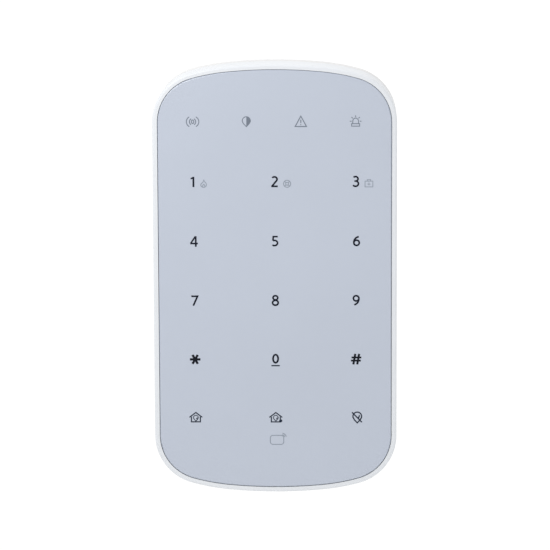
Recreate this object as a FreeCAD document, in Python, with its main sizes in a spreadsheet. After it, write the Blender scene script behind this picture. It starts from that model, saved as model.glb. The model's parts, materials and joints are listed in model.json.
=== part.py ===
import FreeCAD, Part
import Sketcher
import math
import os

# Wall-mounted alarm keypad with a glass touch front, in millimetres.
# +X is right as seen from the front, +Z is up, and the wall is the plane Y = 0.
# Every "depth" is a distance from the wall towards the front, so Y = -depth.

SIZES = {
    # casing outline: flat sides, and ends made of one wide arc and two tighter ones each side
    "case_width": 86.4,
    "case_height": 153.7,
    "case_depth": 24.0,
    "end_radius": 175.0,
    "end_half_chord": 17.0,
    "shoulder_radius": 76.0,
    "corner_radius": 18.0,
    # casing shells
    "case_wall": 2.0,
    "lip_width": 1.75,
    "lip_round": 0.8,
    "back_wall": 1.5,
    "back_round": 1.6,
    "parting_depth": 11.0,
    "parting_gap": 0.25,
    "tongue_wall": 1.0,
    "tongue_clearance": 0.1,
    "tongue_height": 1.1,
    "ledge_width": 2.0,
    # glass and the layers behind it
    "glass_thickness": 1.7,
    "glass_recess": 0.1,
    "glass_gap": 0.12,
    "glass_round": 0.5,
    "tape_thickness": 0.25,
    "tape_width": 1.3,
    "tape_inset": 0.2,
    "light_guide_thickness": 0.7,
    "touch_pad_thickness": 0.1,
    "touch_board_thickness": 1.0,
    "touch_board_inset": 8.6,
    "coil_thickness": 0.15,
    "ferrite_thickness": 0.15,
    # key and status icon places
    "key_pitch_x": 28.8,
    "key_pitch_z": 21.25,
    "key_top_z": 35.3,
    "status_pitch": 19.3,
    "status_z": 56.6,
    "card_mark_z": -57.5,
    "key_pad_width": 11.0,
    "key_pad_height": 10.0,
    "key_well_width": 3.4,
    "key_well_height": 2.6,
    "icon_well_width": 4.2,
    "icon_well_height": 3.6,
    "light_width": 1.6,
    "light_height": 0.8,
    "light_thickness": 0.5,
    "card_loop_z": -36.0,
    "card_loop_width": 54.0,
    "card_loop_height": 46.0,
    "card_loop_band": 3.5,
    # wall bracket
    "bracket_thickness": 2.2,
    "bracket_gap": 0.4,
    "bracket_inset": 3.0,
    "bracket_round": 0.4,
    "plunger_clearance": 0.4,
    "screw_spacing_x": 56.0,
    "screw_spacing_z": 80.0,
    "box_spacing": 60.0,
    "wall_hole_radius": 2.1,
    "countersink": 1.2,
    "hook_stem_height": 2.5,
    "hook_tongue_height": 6.5,
    "hook_thickness": 1.5,
    "hook_clearance": 0.35,
    "upper_hook_x": 24.0,
    "upper_hook_z": 60.0,
    "upper_hook_width": 8.0,
    "lower_hook_x": 36.6,
    "lower_hook_z": -30.0,
    "lower_hook_width": 5.0,
    "lift_travel": 6.0,
    "lock_tab_half_width": 5.5,
    "lock_tab_top": -72.4,
    "lock_tab_thickness": 1.8,
    "lock_tab_depth": 8.2,
    "lock_screw_depth": 5.6,
    "lock_screw_radius": 1.45,
    "lock_screw_clearance": 0.3,
    "lock_insert_radius": 2.3,
    "tamper_tab_width": 18.0,
    "tamper_tab_below": 5.0,
    "tamper_tab_above": 19.0,
    "tamper_tab_slot": 1.2,
    "tamper_tab_bridge": 3.0,
    "tamper_tab_screw": 12.0,
    # power cells and their compartment
    "cell_radius": 7.25,
    "cell_length": 50.5,
    "cell_pitch": 14.6,
    "cell_depth": 11.85,
    "well_half_width": 29.4,
    "well_bottom": -62.0,
    "well_top": -6.0,
    "well_wall": 1.2,
    "well_floor": 0.8,
    "well_front": 20.1,
    "contact_thickness": 0.4,
    # compartment door
    "door_half_width": 30.9,
    "door_bottom": -66.0,
    "door_top": -4.4,
    "door_thickness": 1.5,
    "door_clearance": 0.35,
    "door_recess": 2.3,
    "finger_recess": 5.8,
    "door_frame_wall": 1.2,
    "door_tongue_x": 20.0,
    "door_tongue_width": 6.0,
    "door_tongue_reach": 3.0,
    "door_tongue_thickness": 0.8,
    "door_corner": 1.5,
    # main board and what it carries
    "main_board_depth": 10.0,
    "main_board_thickness": 1.2,
    "main_board_half_width": 31.0,
    "main_board_bottom": -3.5,
    "main_board_top": 62.5,
    "board_screw_x": 27.5,
    "board_screw_low_z": 6.0,
    "board_screw_high_z": 46.0,
    "tamper_z": 29.0,
    "tamper_tip_depth": 2.55,
    "tamper_body_height": 2.4,
    "plunger_radius": 1.5,
    "plunger_collar_radius": 2.5,
    "plunger_collar_thickness": 0.8,
    "switch_x": -22.0,
    "switch_z": 22.0,
    "switch_travel": 2.0,
    "switch_slot_width": 4.7,
    "switch_slot_height": 2.6,
    "switch_body_height": 3.5,
    "connector_height": 1.4,
    "connector_bottom": 2.0,
    "connector_top": 6.0,
    "cable_width": 14.0,
    "cable_thickness": 0.2,
    "touch_chip_side": 7.0,
    "touch_chip_thickness": 0.9,
    "touch_chip_z": 40.0,
    "radio_x": 17.0,
    "radio_thickness": 0.8,
    "shield_z": 42.0,
    "shield_width": 13.0,
    "shield_height": 17.0,
    "shield_rise": 2.2,
    "shield_sheet": 0.3,
    "aerial_left": -10.0,
    "aerial_right": 22.0,
    "aerial_z": 58.4,
    "aerial_rise": 3.0,
    "aerial_strip": 0.4,
    "sounder_x": -14.0,
    "sounder_z": 48.0,
    "sounder_radius": 8.0,
    "sounder_height": 4.2,
    "sounder_hole_radius": 1.2,
    "sound_slot_pitch": 2.2,
    "sound_slot_width": 8.0,
    "sound_slot_height": 1.0,
    "capacitor_radius": 3.9,
    "capacitor_left": -26.0,
    "capacitor_length": 11.0,
    "capacitor_z": 28.0,
    # casing screws
    "screw_x": 38.4,
    "screw_row_pitch": 52.0,
    "screw_radius": 1.15,
    "screw_length": 13.5,
    "bezel_boss_radius": 3.2,
    "housing_boss_radius": 3.0,
    "boss_gap": 0.2,
    "counterbore_radius": 2.6,
    "counterbore_depth": 4.0,
    "screw_hole_radius": 1.4,
    "board_boss_radius": 2.4,
    "thread_clearance": 0.02,
    "board_screw_radius": 0.95,
    # rating label
    "label_width": 34.0,
    "label_height": 12.0,
    "label_thickness": 0.1,
    "label_z": 14.0,
}


class Size:
    """A length: its number, and the spreadsheet expression that gives it."""

    def __init__(self, number, text):
        self.number = number
        self.text = text

    def __add__(self, other):
        other = as_size(other)
        return Size(self.number + other.number, f"({self.text} + {other.text})")

    def __sub__(self, other):
        other = as_size(other)
        return Size(self.number - other.number, f"({self.text} - {other.text})")

    def __mul__(self, other):
        other = as_size(other)
        return Size(self.number * other.number, f"({self.text} * {other.text})")

    def __truediv__(self, other):
        other = as_size(other)
        return Size(self.number / other.number, f"({self.text} / {other.text})")

    def __neg__(self):
        return Size(-self.number, f"(0 - {self.text})")


def as_size(value):
    """A Size as it is, or a plain number as a Size."""
    if isinstance(value, Size):
        return value
    if value < 0:
        return Size(float(value), f"(0 - {-float(value)})")
    return Size(float(value), str(float(value)))


def cell(alias):
    """The Size held in one cell of the spreadsheet."""
    return Size(SIZES[alias], "sizes." + alias)


doc = FreeCAD.newDocument("alarm_keypad")
sheet = doc.addObject("Spreadsheet::Sheet", "sizes")
for row, (alias, number) in enumerate(SIZES.items(), start=1):
    sheet.set(f"A{row}", alias)
    sheet.set(f"B{row}", str(number))
    sheet.setAlias(f"B{row}", alias)
doc.recompute()

parts = []

# A turn that points a shape's +Z to the front, and one that points it to the wall.
TO_FRONT = FreeCAD.Rotation(FreeCAD.Vector(1, 0, 0), 90)
TO_WALL = FreeCAD.Rotation(FreeCAD.Vector(1, 0, 0), -90)

# Depths of the layers, from the wall to the front.
housing_back = cell("bracket_thickness") + cell("bracket_gap")
housing_floor = housing_back + cell("back_wall")
bezel_back = cell("parting_depth") + cell("parting_gap")
glass_front = cell("case_depth") - cell("glass_recess")
glass_back = glass_front - cell("glass_thickness")
ledge_front = glass_back - cell("tape_thickness")
guide_back = glass_back - cell("light_guide_thickness")
touch_board_front = guide_back - cell("touch_pad_thickness")
touch_board_back = touch_board_front - cell("touch_board_thickness")
main_board_front = cell("main_board_depth") + cell("main_board_thickness")
ledge_back = touch_board_back + 0.3
tongue_top = cell("parting_depth") + cell("tongue_height")
rebate_floor = housing_back + cell("door_recess")

# Room between a screw and the plastic it is driven into.
thread_bite = cell("thread_clearance")


# ---------------------------------------------------------------- drawing helpers

def bind(item, prop, size):
    """Tie one property of an object to the spreadsheet."""
    item.setExpression(prop, as_size(size).text)


def span(centre, width):
    """The low and high ends of a width about a centre."""
    half = as_size(width) / 2
    return as_size(centre) - half, as_size(centre) + half


def at(item, x, depth, z):
    """Put the reference corner or centre of a primitive at a place in the frame."""
    bind(item, ".Placement.Base.x", x)
    bind(item, ".Placement.Base.y", -as_size(depth))
    bind(item, ".Placement.Base.z", z)


def shape_box(item, x, depth, z):
    """Size and place a box from its (low, high) ends across, in depth and up."""
    bind(item, "Length", as_size(x[1]) - x[0])
    bind(item, "Width", as_size(depth[1]) - depth[0])
    bind(item, "Height", as_size(z[1]) - z[0])
    at(item, x[0], depth[1], z[0])
    return item


def shape_rod(item, radius, x, depth, z):
    """Size and place a cylinder; the one of depth, x or z that is a pair is its length."""
    turns = {"depth": (1, 0, 0, 90), "x": (0, 1, 0, 90), "z": (0, 0, 1, 0)}
    along = {"depth": depth, "x": x, "z": z}
    name = next(key for key, value in along.items() if isinstance(value, tuple))
    low, high = along[name]
    bind(item, "Radius", radius)
    bind(item, "Height", as_size(high) - low)
    *axis, angle = turns[name]
    item.Placement = FreeCAD.Placement(FreeCAD.Vector(), FreeCAD.Rotation(FreeCAD.Vector(*axis), angle))
    along[name] = low
    at(item, along["x"], along["depth"], along["z"])
    return item


def new_body(label):
    """An empty body that will be written out as one sub-part."""
    body = doc.addObject("PartDesign::Body", label)
    body.Label = label
    parts.append(body)
    return body


def add_box(body, x, depth, z):
    return shape_box(body.newObject("PartDesign::AdditiveBox", "block"), x, depth, z)


def cut_box(body, x, depth, z):
    return shape_box(body.newObject("PartDesign::SubtractiveBox", "slot"), x, depth, z)


def add_rod(body, radius, x, depth, z):
    return shape_rod(body.newObject("PartDesign::AdditiveCylinder", "boss"), radius, x, depth, z)


def cut_rod(body, radius, x, depth, z):
    return shape_rod(body.newObject("PartDesign::SubtractiveCylinder", "bore"), radius, x, depth, z)


def loose_box(x, depth, z):
    """A box outside any body, for a node that is a group of solids."""
    return shape_box(doc.addObject("Part::Box", "box"), x, depth, z)


def loose_rod(radius, x, depth, z):
    """A cylinder outside any body, for a node that is a group of solids."""
    return shape_rod(doc.addObject("Part::Cylinder", "rod"), radius, x, depth, z)


def cut_from(base, tool):
    """One primitive cut out of another."""
    cut = doc.addObject("Part::Cut", "cut")
    cut.Base = base
    cut.Tool = tool
    return cut


def joined(pieces):
    """Several primitives fused into one solid."""
    fuse = doc.addObject("Part::MultiFuse", "fuse")
    fuse.Shapes = pieces
    return fuse


def new_group(label, pieces):
    """Separate identical solids that share one node."""
    group = doc.addObject("Part::Compound", label)
    group.Label = label
    group.Links = pieces
    parts.append(group)
    return group


def outline_curves(inset):
    """The casing outline as curves, drawn anticlockwise and moved in by an inset."""
    end = SIZES["end_radius"]
    shoulder = SIZES["shoulder_radius"]
    corner = SIZES["corner_radius"]
    half_width = SIZES["case_width"] / 2
    end_angle = math.asin(SIZES["end_half_chord"] / end)
    end_z = SIZES["case_height"] / 2 - end
    shoulder_x = (end - shoulder) * math.sin(end_angle)
    shoulder_z = end_z + (end - shoulder) * math.cos(end_angle)
    corner_x = half_width - corner
    corner_angle = math.asin((corner_x - shoulder_x) / (shoulder - corner))
    corner_z = shoulder_z + (shoulder - corner) * math.cos(corner_angle)
    quarter = math.pi / 2

    def arc(x, z, radius, start, stop):
        circle = Part.Circle(FreeCAD.Vector(x, z, 0), FreeCAD.Vector(0, 0, 1), radius - inset)
        return Part.ArcOfCircle(circle, start, stop)

    def side(x, start_z, stop_z):
        return Part.LineSegment(FreeCAD.Vector(x, start_z, 0), FreeCAD.Vector(x, stop_z, 0))

    def cap(up):
        """The five arcs of the top end (up = 1) or of the bottom end (up = -1)."""
        turn = 0 if up > 0 else math.pi
        inner, outer = quarter - corner_angle, quarter - end_angle
        places = [
            (corner_x, corner_z, corner, 0, inner),
            (shoulder_x, shoulder_z, shoulder, inner, outer),
            (0, end_z, end, outer, 2 * quarter - outer),
            (-shoulder_x, shoulder_z, shoulder, 2 * quarter - outer, 2 * quarter - inner),
            (-corner_x, corner_z, corner, 2 * quarter - inner, 2 * quarter),
        ]
        return [arc(up * x, up * z, radius, turn + a, turn + b) for x, z, radius, a, b in places]

    half = half_width - inset
    return [side(half, -corner_z, corner_z), *cap(1), side(-half, corner_z, -corner_z), *cap(-1)]


def draw_outline(sketch, inset):
    """Add one casing outline to a sketch, fully constrained and tied to the spreadsheet."""
    inset = as_size(inset)
    first = sketch.addGeometry(outline_curves(inset.number), False)[0]
    right, left = first, first + 6
    top, bottom = first + 3, first + 9
    shoulders = [first + step for step in (2, 4, 8, 10)]
    corners = [first + step for step in (1, 5, 7, 11)]
    for step in range(12):
        sketch.addConstraint(Sketcher.Constraint("Tangent", first + step, 2, first + (step + 1) % 12, 1))
    for line in (right, left):
        sketch.addConstraint(Sketcher.Constraint("Vertical", line))
    for end in (top, bottom):
        sketch.addConstraint(Sketcher.Constraint("PointOnObject", end, 3, -2))
    for same in ([top, bottom], shoulders, corners):
        for other in same[1:]:
            sketch.addConstraint(Sketcher.Constraint("Equal", same[0], other))

    def dimension(size, kind, *where):
        index = sketch.addConstraint(Sketcher.Constraint(kind, *where, size.number))
        sketch.setExpression(f"Constraints[{index}]", size.text)

    half_width = cell("case_width") / 2 - inset
    centre_drop = cell("end_radius") - cell("case_height") / 2
    half_chord = cell("end_half_chord") * (cell("end_radius") - inset) / cell("end_radius")
    dimension(cell("end_radius") - inset, "Radius", top)
    dimension(cell("shoulder_radius") - inset, "Radius", shoulders[0])
    dimension(cell("corner_radius") - inset, "Radius", corners[0])
    dimension(half_width, "DistanceX", -1, 1, right, 1)
    dimension(half_width, "DistanceX", left, 1, -1, 1)
    dimension(centre_drop, "DistanceY", top, 3, -1, 1)
    dimension(centre_drop, "DistanceY", -1, 1, bottom, 3)
    dimension(half_chord, "DistanceX", -1, 1, top, 1)
    dimension(half_chord, "DistanceX", top, 2, -1, 1)
    dimension(half_chord, "DistanceX", bottom, 1, -1, 1)
    dimension(half_chord, "DistanceX", -1, 1, bottom, 2)


def outline_sketch(body, depth, *insets):
    """A sketch parallel to the wall at a depth, holding one outline for each inset."""
    sketch = body.newObject("Sketcher::SketchObject", "outline")
    plane = next(item for item in body.Origin.OriginFeatures if item.Role == "XZ_Plane")
    sketch.AttachmentSupport = [(plane, "")]
    sketch.MapMode = "FlatFace"
    bind(sketch, ".AttachmentOffset.Base.z", depth)
    for inset in insets:
        draw_outline(sketch, inset)
    return sketch


def pad_outline(body, depth, *insets):
    """A plate with the casing outline (or a ring, from two insets) between two depths."""
    low, high = depth
    pad = body.newObject("PartDesign::Pad", "plate")
    pad.Profile = outline_sketch(body, low, *insets)
    bind(pad, "Length", as_size(high) - low)
    return pad


def pocket_outline(body, depth, inset):
    """A pocket with the casing outline, cut from the high depth back to the low one."""
    low, high = depth
    pocket = body.newObject("PartDesign::Pocket", "cavity")
    pocket.Profile = outline_sketch(body, high, inset)
    bind(pocket, "Length", as_size(high) - low)
    return pocket


def rim_edges(shape, depth):
    """The edges round the outside of the largest flat face at one depth."""
    faces = [face for face in shape.Faces if in_plane(face, depth)]
    rim = max(faces, key=lambda face: face.BoundBox.DiagonalLength).OuterWire
    return edge_names(shape, lambda edge: any(edge.isSame(other) for other in rim.Edges))


def in_plane(item, depth):
    box = item.BoundBox
    return abs(box.YMin + depth) < 0.001 and abs(box.YMax + depth) < 0.001


def edge_names(shape, wanted):
    """The names by which a fillet or chamfer knows the wanted edges of a shape."""
    return [f"Edge{index}" for index, edge in enumerate(shape.Edges, start=1) if wanted(edge)]


def round_edges(body, names, radius):
    base = body.Tip
    fillet = body.newObject("PartDesign::Fillet", "rounding")
    fillet.Base = (base, names)
    bind(fillet, "Radius", radius)
    doc.recompute()


def round_rim(body, depth, radius):
    """Round the outside edge of a body's flat face at a depth."""
    doc.recompute()
    round_edges(body, rim_edges(body.Shape, as_size(depth).number), radius)


def coil(radius, wire, turns, height):
    """A spring's coil along +Z from the origin, as a sweep along a helix."""
    helix = doc.addObject("Part::Helix", "helix")
    helix.Radius = radius
    helix.Height = height
    helix.Pitch = height / turns
    section = doc.addObject("Part::Circle", "wire")
    section.Radius = wire
    upright = FreeCAD.Rotation(FreeCAD.Vector(1, 0, 0), 90)
    section.Placement = FreeCAD.Placement(FreeCAD.Vector(radius, 0, 0), upright)
    sweep = doc.addObject("Part::Sweep", "coil")
    sweep.Sections = [section]
    sweep.Spine = (helix, [])
    sweep.Solid = True
    sweep.Frenet = True
    return sweep


def key_places():
    """The centre of every touch key, row by row from the top left."""
    for row in range(5):
        for column in (-1, 0, 1):
            yield cell("key_pitch_x") * column, cell("key_top_z") - cell("key_pitch_z") * row


def status_places():
    """The centre of every status icon, from the left."""
    for step in (-1.5, -0.5, 0.5, 1.5):
        yield cell("status_pitch") * step, cell("status_z")


def screw_places():
    """The casing screws: three down each side."""
    for side in (-1, 1):
        for row in (-1, 0, 1):
            yield cell("screw_x") * side, cell("screw_row_pitch") * row


def board_screw_places():
    for side in (-1, 1):
        for z in (cell("board_screw_low_z"), cell("board_screw_high_z")):
            yield cell("board_screw_x") * side, z


def hook_places():
    """Each hook of the bracket: its centre line, the top of its stem, and its width."""
    for side in (-1, 1):
        yield cell("upper_hook_x") * side, cell("upper_hook_z"), cell("upper_hook_width")
        yield cell("lower_hook_x") * side, cell("lower_hook_z"), cell("lower_hook_width")


# ---------------------------------------------------------------- casing shells

def front_bezel():
    """White front shell: side wall, thin lip round the glass, and the ledge the glass sits on."""
    body = new_body("front_bezel")
    pad_outline(body, (bezel_back, cell("case_depth")), 0)
    pocket_outline(body, (ledge_front, cell("case_depth")), cell("lip_width"))
    pocket_outline(body, (bezel_back, ledge_front), cell("lip_width") + cell("ledge_width"))
    pocket_outline(body, (bezel_back, ledge_back), cell("case_wall"))
    foot = tongue_top + 0.1 + cell("boss_gap")
    for x, z in screw_places():
        add_rod(body, cell("bezel_boss_radius"), x, (foot, ledge_front), z)
        cut_rod(body, cell("screw_radius") + thread_bite, x, (foot, ledge_front - 2.4), z)
    round_rim(body, cell("case_depth"), cell("lip_round"))


def rear_housing():
    """White rear tray with the cell compartment, screw bosses and hook windows."""
    body = new_body("rear_housing")
    pad_outline(body, (housing_back, cell("parting_depth")), 0)
    pocket_outline(body, (housing_floor, cell("parting_depth")), cell("case_wall"))
    tongue_outer = cell("case_wall") + cell("tongue_clearance")
    pad_outline(body, (housing_floor, tongue_top), tongue_outer, tongue_outer + cell("tongue_wall"))
    round_rim(body, housing_back, cell("back_round"))
    cell_compartment(body)
    lock_socket(body)
    boss_top = tongue_top + 0.1
    seat = housing_back + cell("counterbore_depth")
    for x, z in screw_places():
        add_rod(body, cell("housing_boss_radius"), x, (housing_floor, boss_top), z)
        cut_rod(body, cell("counterbore_radius"), x, (housing_back, seat), z)
        cut_rod(body, cell("screw_hole_radius"), x, (housing_back, boss_top), z)
    board_back = cell("main_board_depth")
    for x, z in board_screw_places():
        add_rod(body, cell("board_boss_radius"), x, (housing_floor, board_back), z)
        cut_rod(body, cell("board_screw_radius") + thread_bite, x, (housing_floor + 0.6, board_back), z)
    rear_windows(body)


def rear_windows(body):
    """Openings in the back: hook windows, plunger hole, switch slot and sound slots."""
    wall = (housing_back, housing_floor)
    for x, z, width in hook_places():
        low = z - cell("hook_stem_height") - cell("lift_travel") - 0.3
        cut_box(body, span(x, width + 1.0), (housing_back, housing_floor + 2.2), (low, z + 0.4))
    cut_rod(body, cell("plunger_radius") + cell("plunger_clearance"), 0, wall, cell("tamper_z"))
    switch_x = span(cell("switch_x"), cell("switch_slot_width") + 0.3)
    cut_box(body, switch_x, wall, span(cell("switch_z"), cell("switch_slot_height")))
    for step in (-2, -1, 0, 1, 2):
        slot_z = cell("sounder_z") - 3.4 + cell("sound_slot_pitch") * step
        slot_x = span(cell("sounder_x") + 2, cell("sound_slot_width"))
        cut_box(body, slot_x, wall, span(slot_z, cell("sound_slot_height")))


def cell_compartment(body):
    """The compartment for the power cells, and the rebate its door slides in."""
    gap = cell("door_clearance")
    rebate_x = span(0, (cell("door_half_width") + gap) * 2)
    rebate_z = (cell("door_bottom") - gap, cell("door_top") + cell("finger_recess"))
    rim = cell("door_frame_wall")
    pocket_reach = cell("door_tongue_reach") + 0.4
    frame_x = (rebate_x[0] - rim, rebate_x[1] + rim)
    frame_z = (rebate_z[0] - pocket_reach - 0.5, rebate_z[1] + rim)
    wall = cell("well_wall")
    well_x = span(0, cell("well_half_width") * 2)
    well_z = (cell("well_bottom"), cell("well_top"))
    outer_x = (well_x[0] - wall, well_x[1] + wall)
    outer_z = (well_z[0] - wall, well_z[1] + wall)
    add_box(body, frame_x, (housing_floor, rebate_floor + rim), frame_z)
    add_box(body, outer_x, (housing_floor, cell("well_front")), outer_z)
    cut_box(body, rebate_x, (housing_back, rebate_floor), rebate_z)
    cut_box(body, well_x, (housing_back, cell("well_front") - cell("well_floor")), well_z)
    tongue_pocket = (housing_back + 0.9, rebate_floor)
    for side in (-1, 1):
        pocket_x = span(cell("door_tongue_x") * side, cell("door_tongue_width") + 0.8)
        cut_box(body, pocket_x, tongue_pocket, (rebate_z[0] - pocket_reach, rebate_z[0] + 0.5))
        tab_slot = span(cell("main_board_depth") - cell("contact_thickness") / 2, 0.8)
        tab_x = span(cell("cell_pitch") * 1.5 * side, 5.0)
        cut_box(body, tab_x, tab_slot, (well_z[1] - 0.1, outer_z[1] + 0.1))


def lock_socket(body):
    """The notch at the foot for the bracket's locking tab, and the boss for its insert."""
    notch_top = cell("lock_tab_top") + 0.4
    notch_front = cell("lock_tab_depth") + 0.5
    add_box(body, span(0, 16.0), (housing_floor, tongue_top), (notch_top - 2.1, notch_top + 6.6))
    notch_x = span(0, (cell("lock_tab_half_width") + 0.5) * 2)
    cut_box(body, notch_x, (housing_back, notch_front), (notch_top - 6.0, notch_top))
    socket_radius = cell("lock_insert_radius") + 0.02
    cut_rod(body, socket_radius, 0, cell("lock_screw_depth"), (notch_top, notch_top + 5.8))


def battery_door():
    """Sliding cover of the cell compartment, with two tongues at its foot and grip grooves."""
    body = new_body("battery_door")
    back = housing_back
    front = housing_back + cell("door_thickness")
    door_x = span(0, cell("door_half_width") * 2)
    door_z = (cell("door_bottom"), cell("door_top"))
    add_box(body, door_x, (back, front), door_z)
    tongue_z = (door_z[0] - cell("door_tongue_reach"), door_z[0] + 2.0)
    tongue_depth = (front + 0.5 - cell("door_tongue_thickness"), front + 0.5)
    for side in (-1, 1):
        add_box(body, span(cell("door_tongue_x") * side, cell("door_tongue_width")), tongue_depth, tongue_z)
    for step in range(4):
        groove_z = door_z[1] - 5.0 - 1.8 * step
        cut_box(body, span(0, 16.0), (back, back + 0.5), span(groove_z, 0.8))
    doc.recompute()
    corners = edge_names(body.Shape, lambda edge: is_door_corner(edge, door_x[1].number))
    round_edges(body, corners, cell("door_corner"))


def is_door_corner(edge, half_width):
    """True for the door's four corner edges, which run straight through its thickness."""
    box = edge.BoundBox
    through = box.YLength > 1.0 and box.XLength < 0.01 and box.ZLength < 0.01
    return through and abs(abs(box.XMin) - half_width) < 0.01


# ---------------------------------------------------------------- glass front and touch layers

def front_glass():
    """Printed glass touch panel with a softened front edge."""
    body = new_body("front_glass")
    pad_outline(body, (glass_back, glass_front), cell("lip_width") + cell("glass_gap"))
    round_rim(body, glass_front, cell("glass_round"))


def lens_tape():
    """Die-cut adhesive ring that bonds the glass to the bezel's ledge."""
    body = new_body("lens_tape")
    outer = cell("lip_width") + cell("glass_gap") + cell("tape_inset")
    pad_outline(body, (ledge_front, glass_back), outer, outer + cell("tape_width"))


def light_guide():
    """White light guide with one well for each key, status icon and the card mark."""
    body = new_body("light_guide")
    depth = (guide_back, glass_back)
    pad_outline(body, depth, cell("touch_board_inset"))
    for x, z in key_places():
        cut_box(body, span(x, cell("key_well_width")), depth, span(z, cell("key_well_height")))
    for x, z in [*status_places(), (0, cell("card_mark_z"))]:
        cut_box(body, span(x, cell("icon_well_width")), depth, span(z, cell("icon_well_height")))


def touch_board():
    """Circuit board that carries the touch electrodes and the lights."""
    body = new_body("touch_board")
    pad_outline(body, (touch_board_back, touch_board_front), cell("touch_board_inset"))


def touch_pads():
    """One copper electrode for each key, open in the middle for its light."""
    depth = (touch_board_front, guide_back)
    pads = []
    for x, z in key_places():
        plate = loose_box(span(x, cell("key_pad_width")), depth, span(z, cell("key_pad_height")))
        window = loose_box(span(x, cell("key_well_width")), depth, span(z, cell("key_well_height")))
        pads.append(cut_from(plate, window))
    new_group("touch_pads", pads)


def lights(label, places):
    """Small light-emitting chips standing in the wells of the light guide."""
    depth = (touch_board_front, touch_board_front + cell("light_thickness"))
    width, height = cell("light_width"), cell("light_height")
    new_group(label, [loose_box(span(x, width), depth, span(z, height)) for x, z in places])


def card_coil():
    """Flat aerial loop of the card reader, on the back of the touch board."""
    depth = (touch_board_back - cell("coil_thickness"), touch_board_back)
    body = new_body("card_coil")
    middle_z = cell("card_loop_z")
    width, height = cell("card_loop_width"), cell("card_loop_height")
    bands = cell("card_loop_band") * 2
    add_box(body, span(0, width), depth, span(middle_z, height))
    cut_box(body, span(0, width - bands), depth, span(middle_z, height - bands))


def ferrite_sheet():
    """Magnetic shield between the card reader's loop and the power cells."""
    coil_back = touch_board_back - cell("coil_thickness")
    depth = (coil_back - cell("ferrite_thickness"), coil_back)
    body = new_body("ferrite_sheet")
    width, height = cell("card_loop_width") + 2, cell("card_loop_height") + 2
    add_box(body, span(0, width), depth, span(cell("card_loop_z"), height))


def touch_chip():
    """Controller of the touch keys, on the back of the touch board."""
    body = new_body("touch_chip")
    side = cell("touch_chip_side")
    depth = (touch_board_back - cell("touch_chip_thickness"), touch_board_back)
    add_box(body, span(0, side), depth, span(cell("touch_chip_z"), side))


def board_connectors():
    """The two sockets of the flat cable."""
    height = cell("connector_height")
    low = (main_board_front, main_board_front + height)
    high = (touch_board_back - height, touch_board_back)
    width = span(0, cell("cable_width") + 4)
    socket_z = (cell("connector_bottom"), cell("connector_top"))
    new_group("board_connectors", [loose_box(width, depth, socket_z) for depth in (low, high)])


def flat_cable():
    """Flat cable from the main board to the touch board, folded back in a half turn."""
    entry = cell("connector_height") / 2 - 0.1
    film = cell("cable_thickness")
    low = main_board_front + entry
    high = touch_board_back - entry
    middle = (low + high) / 2
    reach = (high - low) / 2
    cable_x = span(0, cell("cable_width"))
    straight_z = (cell("connector_top"), cell("connector_top") + 8)
    body = new_body("flat_cable")
    add_box(body, cable_x, (low, high), straight_z)
    add_rod(body, reach, cable_x, middle, straight_z[1])
    cut_box(body, cable_x, (low + film, high - film), straight_z)
    cut_rod(body, reach - film, cable_x, middle, straight_z[1])


# ---------------------------------------------------------------- main board

def main_board():
    """Circuit board on four bosses of the rear housing."""
    body = new_body("main_board")
    depth = (cell("main_board_depth"), main_board_front)
    board_z = (cell("main_board_bottom"), cell("main_board_top"))
    add_box(body, span(0, cell("main_board_half_width") * 2), depth, board_z)
    for x, z in board_screw_places():
        cut_rod(body, cell("board_screw_radius") + 0.25, x, depth, z)


def board_chips():
    """Packages on the front of the main board, each in a node of its own."""
    chips = {
        "controller_chip": (4.0, 24.0, 10.0, 10.0, 1.4),
        "card_reader_chip": (22.0, 16.0, 5.0, 5.0, 0.9),
        "power_regulator": (-22.0, 12.0, 5.0, 6.5, 1.6),
        "radio_module": (SIZES["radio_x"], 44.0, 16.0, 24.0, SIZES["radio_thickness"]),
    }
    for label, (x, z, width, height, thickness) in chips.items():
        body = new_body(label)
        add_box(body, span(x, width), (main_board_front, main_board_front + thickness), span(z, height))


def radio_shield():
    """Tinned can over the radio's circuit, open towards its board."""
    base = main_board_front + cell("radio_thickness")
    x, z = cell("radio_x"), cell("shield_z")
    width, height, rise = cell("shield_width"), cell("shield_height"), cell("shield_rise")
    sheet_metal = cell("shield_sheet")
    body = new_body("radio_shield")
    add_box(body, span(x, width), (base, base + rise), span(z, height))
    inside_x = span(x, width - sheet_metal * 2)
    cut_box(body, inside_x, (base, base + rise - sheet_metal), span(z, height - sheet_metal * 2))


def radio_antenna():
    """Bent-strip aerial standing along the top edge of the main board."""
    base = main_board_front
    rise, strip = cell("aerial_rise"), cell("aerial_strip")
    low = cell("aerial_z")
    right = cell("aerial_right")
    body = new_body("radio_antenna")
    add_box(body, (cell("aerial_left"), right), (base + rise - strip, base + rise), (low, low + 3))
    for leg_right in (right, right - 5.8):
        add_box(body, (leg_right - 1.2, leg_right), (base, base + rise), (low, low + strip))


def sounder():
    """Round buzzer with its sound hole."""
    body = new_body("sounder")
    x, z = cell("sounder_x"), cell("sounder_z")
    top = main_board_front + cell("sounder_height")
    add_rod(body, cell("sounder_radius"), x, (main_board_front, top), z)
    cut_rod(body, cell("sounder_hole_radius"), x, (top - 2, top), z)
    round_rim(body, top, 0.5)


def storage_capacitor():
    """Can that evens out the radio's bursts of current, lying on the main board."""
    body = new_body("storage_capacitor")
    radius = cell("capacitor_radius")
    left = cell("capacitor_left")
    reach = (left, left + cell("capacitor_length"))
    add_rod(body, radius, reach, main_board_front + radius + 0.05, cell("capacitor_z"))


def small_components():
    """Chip resistors and capacitors in two rows on the main board."""
    pieces = []
    for column in range(6):
        for z in (15.0, 35.0):
            x = -8.0 + 3.2 * column
            depth = (main_board_front, main_board_front + 0.6)
            pieces.append(loose_box(span(x, 1.6), depth, span(z, 0.8)))
    new_group("small_components", pieces)


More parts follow.
